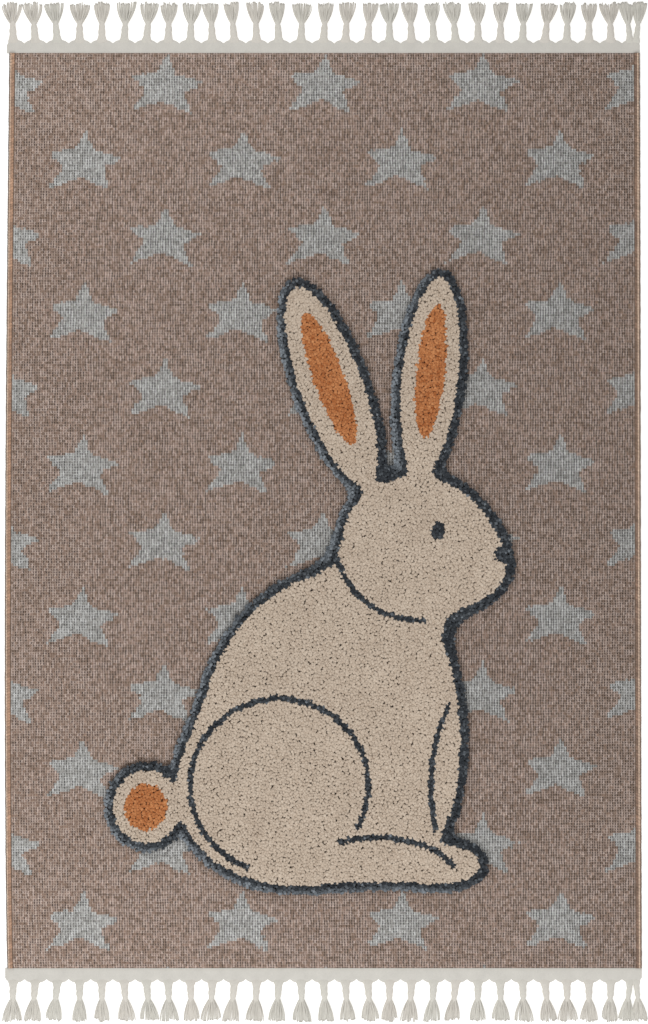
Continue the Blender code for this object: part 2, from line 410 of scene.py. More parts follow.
def ribbed_weave_group() -> bpy.types.NodeTree:
    """The ground's ribs and rows, from a place on the cloth in metres.

    Crest is sin(pi * u / rib) across each rib, and Stitch is the same along the rows. Tone is a
    random number for each stitch, Gap Tone one for each row of each gap, and Dash marks random
    short runs of a gap, which get the darkest painted shade.
    """
    inputs = {"Place": "Vector", "Rib": "Float", "Row": "Float", "Dash Share": "Float"}
    outputs = dict.fromkeys(["Crest", "Stitch", "Tone", "Gap Tone", "Dash"], "Float")
    tree, sheet, given, wanted = new_group("RibbedWeave", inputs, outputs)
    split = sheet.add("ShaderNodeSeparateXYZ")
    sheet.feed(split.inputs[0], given["Place"])
    ribs = sheet.math("DIVIDE", split.outputs["X"], given["Rib"])
    rows = sheet.math("DIVIDE", split.outputs["Y"], given["Row"])
    rib = sheet.math("FLOOR", ribs)
    crest = sheet.math("SINE", sheet.math("MULTIPLY", sheet.math("FRACT", ribs), math.pi))
    stitch = sheet.math("SINE", sheet.math("MULTIPLY", sheet.math("FRACT", rows), math.pi))
    sheet.feed(wanted["Crest"], crest)
    sheet.feed(wanted["Stitch"], stitch)
    row = sheet.math("FLOOR", rows)
    gap = sheet.math("ROUND", ribs)
    sheet.feed(wanted["Tone"], random_at(sheet, rib, row, 1.5))
    sheet.feed(wanted["Gap Tone"], random_at(sheet, gap, row, 2.5))
    offset = sheet.math("MULTIPLY", random_at(sheet, gap, 0.0, 3.5), 9.0)
    runs = sheet.math("FLOOR", sheet.math("MULTIPLY_ADD", rows, 0.55, offset))
    drawn = sheet.math("LESS_THAN", random_at(sheet, gap, runs, 4.5), given["Dash Share"])
    sheet.feed(wanted["Dash"], drawn)
    return tree


def woven_star_group() -> bpy.types.NodeTree:
    """A half-drop repeat of five-pointed stars, stepped to the ribs and rows of the cloth.

    The place is snapped to the middle of its stitch, wrapped into the repeat and divided by the
    star's half width, which grows downwards with the splay, and its half height. The height gains
    droop * width^2, so that the side arms hang. The angle is folded into a tenth of a turn. It is
    inside where its radius is under notch + (1 - notch) * t^curve, with t the share of the way from
    the notch's angle to the tip's, give or take the stitch's fray.
    """
    names = ["Rib", "Row"] + [part.name.title().replace("_", " ") for part in fields(StarRepeat)]
    inputs = {"Place": "Vector", **dict.fromkeys(names, "Float")}
    tree, sheet, given, wanted = new_group("WovenStars", inputs, {"Mask": "Float"})
    split = sheet.add("ShaderNodeSeparateXYZ")
    sheet.feed(split.inputs[0], given["Place"])
    rib = sheet.math("FLOOR", sheet.math("DIVIDE", split.outputs["X"], given["Rib"]))
    row = sheet.math("FLOOR", sheet.math("DIVIDE", split.outputs["Y"], given["Row"]))
    fray = sheet.math("SUBTRACT", random_at(sheet, rib, row, 6.5), 0.5)
    loosened = sheet.math("MULTIPLY_ADD", fray, given["Fray"], 1.0)
    u = sheet.math("MULTIPLY", sheet.math("ADD", rib, 0.5), given["Rib"])
    v = sheet.math("MULTIPLY", sheet.math("ADD", row, 0.5), given["Row"])
    v = sheet.math("SUBTRACT", v, sheet.math("MULTIPLY", u, given["Skew"]))
    u = sheet.math("SUBTRACT", u, given["First X"])
    v = sheet.math("SUBTRACT", v, given["First Y"])
    tenth = math.pi / 5

    def star(shift_x, shift_y: float):
        """The stars of one half of the repeat, shifted by a share of it each way."""
        wrapped = []
        for value, repeat, shift in ((u, given["Across"], shift_x), (v, given["Along"], shift_y)):
            moved = sheet.math("MULTIPLY_ADD", repeat, shift, value)
            half = sheet.math("MULTIPLY", repeat, 0.5)
            wrapped.append(sheet.math("WRAP", moved, half, sheet.math("MULTIPLY", half, -1.0)))
        up = sheet.math("DIVIDE", wrapped[1], given["Half Height"])
        narrower = sheet.math("SUBTRACT", 1.0, sheet.math("MULTIPLY", up, given["Splay"]))
        half_width = sheet.math("MULTIPLY", given["Half Width"], narrower)
        across = sheet.math("DIVIDE", wrapped[0], half_width)
        hang = sheet.math("MULTIPLY", sheet.math("MULTIPLY", across, across), given["Droop"])
        up = sheet.math("ADD", up, hang)
        angle = sheet.math("SUBTRACT", sheet.math("ARCTAN2", across, up), given["Turn"])
        fold = sheet.math("DIVIDE", sheet.math("PINGPONG", angle, tenth), tenth)
        squares = [sheet.math("MULTIPLY", value, value) for value in (across, up)]
        away = sheet.math("SQRT", sheet.math("ADD", *squares))
        taper = sheet.math("POWER", sheet.math("SUBTRACT", 1.0, fold), given["Curve"])
        arm = sheet.math("MULTIPLY", sheet.math("SUBTRACT", 1.0, given["Notch"]), taper)
        edge = sheet.math("MULTIPLY", sheet.math("ADD", given["Notch"], arm), loosened)
        return sheet.math("LESS_THAN", away, edge)

    both = sheet.math("MAXIMUM", star(0.0, 0.0), star(given["Second X"], 0.5))
    sheet.feed(wanted["Mask"], both)
    return tree


@dataclass(frozen=True)
class StarRepeat:
    """The size and place of the woven stars, named as their node group's inputs; the second set
    stands a share of the repeat aside."""

    across: float = 0.3011
    along: float = 0.2874
    first_x: float = -0.0027
    first_y: float = 0.2292
    second_x: float = 0.512
    skew: float = 0.0035
    half_width: float = 0.0755
    half_height: float = 0.0600
    splay: float = 0.385
    droop: float = 0.13
    notch: float = 0.51
    curve: float = 2.08
    turn: float = 0.09
    fray: float = 0.13


@dataclass(frozen=True)
class WeaveFinish:
    """The ground's yarns: for the cloth and for its stars a dark and a light end of the rib's
    colours, and a gap and a dash colour, which are painted shade in the grooves between ribs."""

    rib_dark: tuple = (0.260, 0.186, 0.144)
    rib_light: tuple = (0.510, 0.405, 0.355)
    # Painted shade: the gap and dash colours darken the grooves between ribs, the dash most.
    gap: tuple = (0.165, 0.104, 0.074)
    dash: tuple = (0.022, 0.010, 0.006)
    star_rib_dark: tuple = (0.330, 0.322, 0.304)
    star_rib_light: tuple = (0.570, 0.570, 0.560)
    # Painted shade in the grooves inside the stars, as for the plain cloth.
    star_gap_shade: tuple = (0.185, 0.181, 0.173)
    star_dash: tuple = (0.026, 0.025, 0.025)
    dash_share: float = 0.44
    dash_growth: float = 0.34
    # fade and bowl make the colour darker to the right and towards the middle of the length.
    fade: float = 0.17
    bowl: float = 0.11
    level: float = 0.96
    gap_tones: tuple = (1.25, 0.25)
    hole_rows: tuple = (1.15, 0.15)
    grain: tuple = (0.0017, 0.85)
    streak: tuple = (0.0021, 0.60)
    streak_squash: tuple = (1.0, 0.28, 1.0)
    melange: tuple = (0.022, 0.05)
    roughness: float = 0.92

    def build(self, groups: dict) -> bpy.types.Material:
        """Make the woven ground's material.

        Args:
            groups: the shared node groups by name.

        Returns:
            The material, which reads the cloth's own map in metres. A gap is a row of holes of painted
            shade, which fade where a row crosses it. The colour is darker to the right and in the middle,
            as level - fade * x + bowl * y^2, and dashes are commoner to the right.
        """
        material, sheet, shader = new_material("woven_ground", self.roughness, sheen=0.15)
        place = sheet.add("ShaderNodeUVMap", uv_map=WEAVE_MAP).outputs[0]
        split = sheet.add("ShaderNodeSeparateXYZ")
        sheet.feed(split.inputs[0], place)
        dashes = sheet.math("MULTIPLY_ADD", split.outputs["X"], self.dash_growth, self.dash_share)
        weave = sheet.group(
            groups["weave"],
            Place=place,
            Rib=PLAN.rib_pitch,
            Row=PLAN.row_pitch,
            Dash_Share=dashes,
        )
        sizes = {part.name.title(): part.default for part in fields(StarRepeat)}
        stars = sheet.group(
            groups["stars"], Place=place, Rib=PLAN.rib_pitch, Row=PLAN.row_pitch, **sizes
        )
        rib_dark = sheet.mix(stars["Mask"], self.rib_dark, self.star_rib_dark)
        rib_light = sheet.mix(stars["Mask"], self.rib_light, self.star_rib_light)
        gap = sheet.mix(stars["Mask"], self.gap, self.star_gap_shade)
        dash = sheet.mix(stars["Mask"], self.dash, self.star_dash)
        # Painted shade in the grooves: the gap colour, and in random short runs the darker dash colour.
        valley_shade = sheet.mix(weave["Dash"], gap, dash)
        valley_shade = shaded(sheet, valley_shade, sheet.math("MULTIPLY_ADD", weave["Gap Tone"], *self.gap_tones))
        crest = sheet.mix(weave["Tone"], rib_dark, rib_light)
        # The painted shade fills the hollow between two crests and thins out between rows.
        sunk = sheet.math("SUBTRACT", 1.0, weave["Crest"])
        hole_shade = sheet.math("MULTIPLY", sunk, sheet.math("MULTIPLY_ADD", weave["Stitch"], *self.hole_rows))
        hole_shade = sheet.math("MINIMUM", hole_shade, 1.0)
        colour = sheet.mix(hole_shade, crest, valley_shade)
        grain = speckle(sheet, groups, place, self.grain)
        drawn_out = sheet.add("ShaderNodeVectorMath", operation="MULTIPLY")
        sheet.feed(drawn_out.inputs[0], place)
        drawn_out.inputs[1].default_value = self.streak_squash
        streak = speckle(sheet, groups, drawn_out.outputs[0], self.streak)
        melange = speckle(sheet, groups, place, self.melange)
        # Darker to the right and towards the middle of the length, lighter towards the ends.
        faded = sheet.math("MULTIPLY_ADD", split.outputs["X"], -self.fade, self.level)
        ends = sheet.math("MULTIPLY", split.outputs["Y"], split.outputs["Y"])
        faded = sheet.math("MULTIPLY_ADD", ends, self.bowl, faded)
        shade = sheet.math("MULTIPLY", grain, streak)
        shade = sheet.math("MULTIPLY", shade, sheet.math("MULTIPLY", melange, faded))
        colour = shaded(sheet, colour, shade)
        sheet.feed(shader.inputs["Base Color"], colour)
        bump = sheet.add("ShaderNodeBump")
        bump.inputs["Distance"].default_value = 0.0010
        bump.inputs["Strength"].default_value = 0.6
        loops = sheet.math("MULTIPLY", weave["Crest"], weave["Stitch"])
        sheet.feed(bump.inputs["Height"], sheet.math("MULTIPLY", loops, grain))
        sheet.feed(shader.inputs["Normal"], bump.outputs[0])
        return material


def speckle(sheet: Sheet, groups: dict, place, values: tuple):
    """The fibre speckle's shade at a place, for a size and a strength."""
    return sheet.group(groups["grain"], Place=place, Size=values[0], Strength=values[1])["Shade"]


def attributes(sheet: Sheet, *names: str) -> list:
    """The values of a piece's own attributes, by name."""
    return [sheet.add("ShaderNodeAttribute", attribute_name=name).outputs["Fac"] for name in names]


def shaded(sheet: Sheet, colour, shade):
    """Multiply a colour by one value."""
    return sheet.mix(1.0, colour, as_grey(sheet, shade), "MULTIPLY")


def as_grey(sheet: Sheet, value):
    """Turn one value into a grey colour."""
    node = sheet.add("ShaderNodeCombineColor")
    for socket in node.inputs:
        sheet.feed(socket, value)
    return node.outputs[0]


def new_material(name: str, roughness: float, sheen: float) -> tuple:
    """Start a textile material: rough, without metal, with a little fibre sheen.

    Args:
        name: the material's name.
        roughness: the shader's roughness.
        sheen: how much the fibres catch light at the rim.

    Returns:
        The material, its Sheet and its Principled shader.
    """
    material = bpy.data.materials.new(name)
    material.use_nodes = True
    shader = material.node_tree.nodes["Principled BSDF"]
    shader.inputs["Roughness"].default_value = roughness
    shader.inputs["Metallic"].default_value = 0.0
    shader.inputs["Specular IOR Level"].default_value = 0.2
    shader.inputs["Sheen Weight"].default_value = sheen
    shader.inputs["Sheen Roughness"].default_value = 0.5
    return material, Sheet(material.node_tree), shader


@dataclass(frozen=True)
class BackingFinish:
    """The woven backing under the cloth: a plain coarse cross weave of natural yarn."""

    warp: tuple = (0.430, 0.350, 0.250)
    weft: tuple = (0.300, 0.235, 0.165)
    pitch: float = 0.0036
    grain: tuple = (0.003, 0.3)

    def build(self, groups: dict) -> bpy.types.Material:
        """Make the backing's material: over and under by the parity of the two waves."""
        material, sheet, shader = new_material("woven_backing", 0.95, sheen=0.05)
        place = sheet.add("ShaderNodeTexCoord").outputs["Object"]
        split = sheet.add("ShaderNodeSeparateXYZ")
        sheet.feed(split.inputs[0], place)
        turns = math.pi / self.pitch
        across = sheet.math("SINE", sheet.math("MULTIPLY", split.outputs["X"], turns))
        along = sheet.math("SINE", sheet.math("MULTIPLY", split.outputs["Y"], turns))
        over = sheet.math("MULTIPLY", across, along)
        share = sheet.math("MULTIPLY_ADD", over, 0.5, 0.5)
        grain = speckle(sheet, groups, place, self.grain)
        colour = shaded(sheet, sheet.mix(share, self.weft, self.warp), grain)
        sheet.feed(shader.inputs["Base Color"], colour)
        bump = sheet.add("ShaderNodeBump")
        bump.inputs["Distance"].default_value = 0.0006
        sheet.feed(bump.inputs["Height"], sheet.math("MULTIPLY", share, grain))
        sheet.feed(shader.inputs["Normal"], bump.outputs[0])
        return material


@dataclass(frozen=True)
class PileFinish:
    """A cut-pile yarn: colours of its dark and light tufts, and the painted shade at the root."""

    name: str
    dark: tuple
    light: tuple
    root: float
    sheen: float
    grain: tuple = (0.0012, 0.20)

    def build(self, groups: dict) -> bpy.types.Material:
        """Make the yarn's material from each tuft's tone and height, with painted shade at the root."""
        material, sheet, shader = new_material(self.name, 0.93, self.sheen)
        rise, tone = attributes(sheet, "rise", "tone")
        place = sheet.add("ShaderNodeTexCoord").outputs["Object"]
        grain = speckle(sheet, groups, place, self.grain)
        colour = sheet.mix(tone, self.dark, self.light)
        # Painted shade: the colour darkens from the tip down to the root, between neighbouring tufts.
        root_shade = sheet.math("MULTIPLY_ADD", sheet.math("POWER", rise, 2.0), 1 - self.root, self.root)
        colour = shaded(sheet, colour, sheet.math("MULTIPLY", root_shade, grain))
        sheet.feed(shader.inputs["Base Color"], colour)
        return material


# The fourth value is the share of the colour that painted shade leaves at a tuft's root.
PILE_FINISHES = {
    PileColour.CREAM: PileFinish("pile_cream", (0.50, 0.40, 0.31), (0.68, 0.57, 0.46), 0.80, 0.25),
    PileColour.SLATE: PileFinish("pile_slate", (0.008, 0.011, 0.016), (0.25, 0.28, 0.31), 0.70, 0.15),
    PileColour.ORANGE: PileFinish("pile_orange", (0.35, 0.095, 0.020), (0.68, 0.300, 0.120), 0.70, 0.15),
}


@dataclass(frozen=True)
class SelvedgeFinish:
    """The overlock yarn: one pale strand, then brown or orange ones, with painted shade between the wraps.
    """

    pale: tuple = (0.760, 0.590, 0.455)
    brown: tuple = (0.340, 0.215, 0.160)
    orange: tuple = (0.580, 0.345, 0.225)
    # Painted shade: the dark colour between the wraps, on the outer lip, underneath and on the right's inner
    # cord.
    gap: tuple = (0.130, 0.090, 0.066)
    grain: tuple = (0.0026, 0.55)

    def build(self, groups: dict) -> bpy.types.Material:
        """Make the yarn's material from its pale share, its share of painted shade and wrap tone, and its
        warmth.
        """
        material, sheet, shader = new_material("selvedge_yarn", 0.85, sheen=0.2)
        pale, deep, warm = attributes(sheet, "pale", "deep", "warm")
        place = sheet.add("ShaderNodeTexCoord").outputs["Object"]
        yarn = sheet.mix(warm, self.brown, self.orange)
        colour = sheet.mix(deep, sheet.mix(pale, yarn, self.pale), self.gap)
        colour = shaded(sheet, colour, speckle(sheet, groups, place, self.grain))
        sheet.feed(shader.inputs["Base Color"], colour)
        return material


@dataclass(frozen=True)
class CottonFinish:
    """Undyed cotton, for the bands and the tassels."""

    colour: tuple = (0.640, 0.618, 0.570)
    warm: tuple = (0.715, 0.675, 0.615)
    green: tuple = (0.685, 0.670, 0.610)
    # Painted shadow colour for darker strands and for the cut ends.
    shadow: tuple = (0.330, 0.310, 0.270)
    fine: tuple = (0.0011, 0.16)
    broad: tuple = (0.022, 0.07)
    yarn_grain: tuple = (0.0014, 0.18)

    def build_band(self, groups: dict) -> bpy.types.Material:
        """Make the band's material: a very fine plain weave."""
        material, sheet, shader = new_material("band_cotton", 0.88, sheen=0.15)
        place = sheet.add("ShaderNodeTexCoord").outputs["Object"]
        fine = speckle(sheet, groups, place, self.fine)
        broad = speckle(sheet, groups, place, self.broad)
        colour = shaded(sheet, self.colour, sheet.math("MULTIPLY", fine, broad))
        sheet.feed(shader.inputs["Base Color"], colour)
        bump = sheet.add("ShaderNodeBump")
        bump.inputs["Distance"].default_value = 0.0003
        sheet.feed(bump.inputs["Height"], fine)
        sheet.feed(shader.inputs["Normal"], bump.outputs[0])
        return material

    def build_yarn(self, groups: dict) -> bpy.types.Material:
        """Make the tassel yarn's material from the strand's tone, its cut end and the tassel's tint; a low
        tone and the cut end mix in the painted shadow colour.
        """
        material, sheet, shader = new_material("tassel_cotton", 0.9, sheen=0.2)
        tone, tint, share = attributes(sheet, "tone", "tint", "share")
        place = sheet.add("ShaderNodeTexCoord").outputs["Object"]
        grain = speckle(sheet, groups, place, self.yarn_grain)
        tinted = sheet.mix(tint, self.green, self.warm)
        # Painted shade: darker strands and the last tenth of each strand go towards the shadow colour.
        past = sheet.math("MULTIPLY", sheet.math("SUBTRACT", share, 0.90), 5.0)
        cut = sheet.math("MULTIPLY", sheet.math("MAXIMUM", past, 0.0), 0.8)
        lit = sheet.math("SUBTRACT", tone, cut)
        colour = sheet.mix(sheet.math("MAXIMUM", lit, 0.0), self.shadow, tinted)
        sheet.feed(shader.inputs["Base Color"], shaded(sheet, colour, grain))
        return material


@dataclass(frozen=True)
class Oval:
    """An oval of the picture; blend is the width of its soft join to the ovals before it."""

    x: float
    y: float
    half_w: float
    half_h: float
    tilt_deg: float = 0.0
    blend: float = 0.0

    def local(self, x: np.ndarray, y: np.ndarray) -> tuple:
        """Turn places into the oval's own axes, as along and across from its centre."""
        turn = math.radians(self.tilt_deg)
        along = (x - self.x) * math.cos(turn) + (y - self.y) * math.sin(turn)
        across = (y - self.y) * math.cos(turn) - (x - self.x) * math.sin(turn)
        return along, across

    def distance(self, x: np.ndarray, y: np.ndarray) -> np.ndarray:
        """Roughly the signed distance to the edge, k(k - 1) / |slope of k|, below zero inside."""
        along, across = self.local(x, y)
        share = np.hypot(along / self.half_w, across / self.half_h)
        slope = np.hypot(along / self.half_w**2, across / self.half_h**2)
        return share * (share - 1) / np.maximum(slope, 1e-9)

    def bearing(self, x: np.ndarray, y: np.ndarray) -> np.ndarray:
        """Degrees round the oval, counter-clockwise from its own right."""
        along, across = self.local(x, y)
        return np.degrees(np.arctan2(across / self.half_h, along / self.half_w)) % 360


@dataclass(frozen=True)
class Stroke:
    """A drawn line: the part of an oval's edge from one bearing, counter-clockwise, to another."""

    oval: Oval
    start_deg: float
    end_deg: float
    width: float = 0.0105

    def covers(self, x: np.ndarray, y: np.ndarray) -> np.ndarray:
        """True where a place lies on the line."""
        near = np.abs(self.oval.distance(x, y)) < self.width / 2
        turned = (self.oval.bearing(x, y) - self.start_deg) % 360
        return near & (turned <= (self.end_deg - self.start_deg) % 360)


@dataclass
class RabbitDrawing:
    """A plain rabbit that sits in profile, drawn from blended ovals as in the rug's construction."""

    outline_w: float = 0.0155
    body: tuple = (
        Oval(-0.010, -0.400, 0.235, 0.300, -18.0),
        Oval(0.150, -0.420, 0.118, 0.250, 4.0, 0.060),
        Oval(-0.080, -0.530, 0.214, 0.186, 0.0, 0.060),
        Oval(-0.336, -0.560, 0.078, 0.084, 0.0, 0.022),
        Oval(0.070, -0.672, 0.218, 0.046, 0.0, 0.030),
        Oval(0.222, -0.668, 0.084, 0.050, 0.0, 0.030),
        Oval(0.176, -0.066, 0.158, 0.142, -12.0, 0.090),
        Oval(0.268, -0.104, 0.084, 0.072, -10.0, 0.060),
        Oval(0.012, 0.232, 0.074, 0.214, 20.0, 0.034),
        Oval(0.198, 0.248, 0.068, 0.206, -6.0, 0.034),
    )
    strokes: tuple = (
        Stroke(Oval(-0.086, -0.520, 0.168, 0.164), 330, 250),
        Stroke(Oval(0.096, -0.690, 0.150, 0.072), 12, 118),
        Stroke(Oval(0.300, -0.520, 0.100, 0.200), 130, 205),
        Stroke(Oval(0.176, -0.066, 0.158, 0.142, -12.0), 170, 286),
    )
    dark_dots: tuple = (Oval(0.214, -0.040, 0.013, 0.018), Oval(0.338, -0.084, 0.018, 0.017))
    orange_ovals: tuple = (
        Oval(0.008, 0.246, 0.029, 0.132, 20.0),
        Oval(0.200, 0.262, 0.027, 0.126, -6.0),
        Oval(-0.338, -0.560, 0.040, 0.044),
    )

    def distance(self, x: np.ndarray, y: np.ndarray) -> np.ndarray:
        """The signed distance to the outline: each oval in turn is blended into those before it."""
        total = self.body[0].distance(x, y)
        for oval in self.body[1:]:
            near = oval.distance(x, y)
            mix = np.clip(0.5 + 0.5 * (total - near) / oval.blend, 0.0, 1.0)
            total = total * (1 - mix) + near * mix - oval.blend * mix * (1 - mix)
        return total

    def outward(self, x: np.ndarray, y: np.ndarray) -> np.ndarray:
        """The unit way out of the picture at each place, from the distance's slope."""
        tiny = 1e-4
        across = self.distance(x + tiny, y) - self.distance(x - tiny, y)
        along = self.distance(x, y + tiny) - self.distance(x, y - tiny)
        way = np.stack([across, along], -1)
        return way / np.maximum(np.linalg.norm(way, axis=-1, keepdims=True), 1e-12)

    def yarns(self, x: np.ndarray, y: np.ndarray, distance: np.ndarray) -> np.ndarray:
        """The number of the yarn at each place inside the outline."""
        yarn = np.full(x.shape, PileColour.CREAM.value)
        for oval in self.orange_ovals:
            yarn[oval.distance(x, y) < 0] = PileColour.ORANGE.value
        for stroke in self.strokes:
            yarn[stroke.covers(x, y)] = PileColour.SLATE.value
        for dot in self.dark_dots:
            yarn[dot.distance(x, y) < 0] = PileColour.SLATE.value
        yarn[distance > -self.outline_w] = PileColour.SLATE.value
        return yarn


@dataclass
class GroundCloth:
    """The flat-woven cloth with its ribs, closed underneath by the backing."""

    ribs: int = 244
    rows: int = 196
    rib_depth: float = 0.0014
    sway: float = 0.0008
    lump: float = 0.00018
    swell: float = 0.00025
    end_fall: float = 0.40
    end_run: float = 0.010
    rim_angle_deg: float = 76.0

    def build(self, groups: dict) -> bpy.types.Object:
        """Build and dress the cloth.

        The top is a grid over rib and row: x is the share of the way between the two sides at y plus
        a small sway, and z is the cloth's height less the rib depth in each gap, thinner towards the
        stitched ends. The rim drops straight to the floor and the underside is one flat face.
        """
        ribs = self.ribs
        column = np.linspace(-1, 1, 2 * ribs + 1)
        y_line = np.linspace(-PLAN.length / 2, PLAN.length / 2, self.rows + 1)
        share, y = np.meshgrid(column, y_line)
        inset = PLAN.selvedge_w + PLAN.gap
        left_x = inset - PLAN.side_reach(Side.LEFT, y)
        right_x = PLAN.side_reach(Side.RIGHT, y) - inset
        even_x = left_x + (share + 1) / 2 * (right_x - left_x)
        crest = np.tile(np.arange(2 * ribs + 1) % 2, (self.rows + 1, 1))
        draw = np.random.default_rng(5)
        lumps = draw.normal(0, self.lump, even_x.shape)
        z = PLAN.ground_t - self.rib_depth * (1 - crest) + lumps * crest
        z += self.swell * waves(even_x, y, 0.16, 3)
        z *= 1 - self.end_fall * ease(1 - (PLAN.length / 2 - np.abs(y)) / self.end_run)
        inside = (1 - np.abs(share) ** 40) * (1 - np.abs(2 * y / PLAN.length) ** 60)
        x = even_x + inside * self.sway * waves(even_x, y, 0.036, 4)
        top = np.stack([x, y, z], -1).reshape(-1, 3)
        quads, rim = grid_faces(self.rows + 1, 2 * ribs + 1)
        floor = top[rim].copy()
        floor[:, 2] = 0.0
        low = len(top) + np.arange(len(rim))
        walls = np.stack([rim, low, np.roll(low, -1), np.roll(rim, -1)], -1)
        piece = mesh_piece("ground_cloth", np.concatenate([top, floor]), np.concatenate([quads, walls]))
        self.close_underside(piece, low)
        piece.data.set_sharp_from_angle(angle=math.radians(self.rim_angle_deg))
        rows = y + self.sway * waves(even_x, y, 0.040, 6)
        flat = np.stack([share * ribs / 2 * PLAN.rib_pitch, rows], -1).reshape(-1, 2)
        add_map(piece, WEAVE_MAP, np.concatenate([flat, flat[rim]]))
        chart = np.stack([0.015 + 0.31 * (share + 1), 0.5 + 0.98 * y / PLAN.length], -1).reshape(-1, 2)
        edge = chart[rim]
        outer = 0.5 + (edge - 0.5) * 1.008
        below = np.stack([0.675 + 0.5 * edge[:, 0], edge[:, 1]], -1)
        add_map(piece, BAKE_MAP, np.concatenate([chart, outer]), last=below[::-1])
        finish_piece(
            piece,
            [WeaveFinish().build(groups), BackingFinish().build(groups)],
            "rug_cloth",
        )
        return piece

    def close_underside(self, piece: bpy.types.Object, low: np.ndarray) -> None:
        """Close the rim's lower edge with one flat face in the backing's material."""
        mesh = piece.data
        start = len(mesh.loops)
        mesh.loops.add(len(low))
        corners = np.empty(len(mesh.loops), np.int32)
        mesh.loops.foreach_get("vertex_index", corners)
        corners[start:] = low[::-1]
        mesh.loops.foreach_set("vertex_index", corners)
        mesh.polygons.add(1)
        mesh.polygons[-1].loop_start = start
        mesh.polygons[-1].material_index = 1
        mesh.polygons[-1].use_smooth = False
        mesh.update(calc_edges=True)
        mesh.validate()


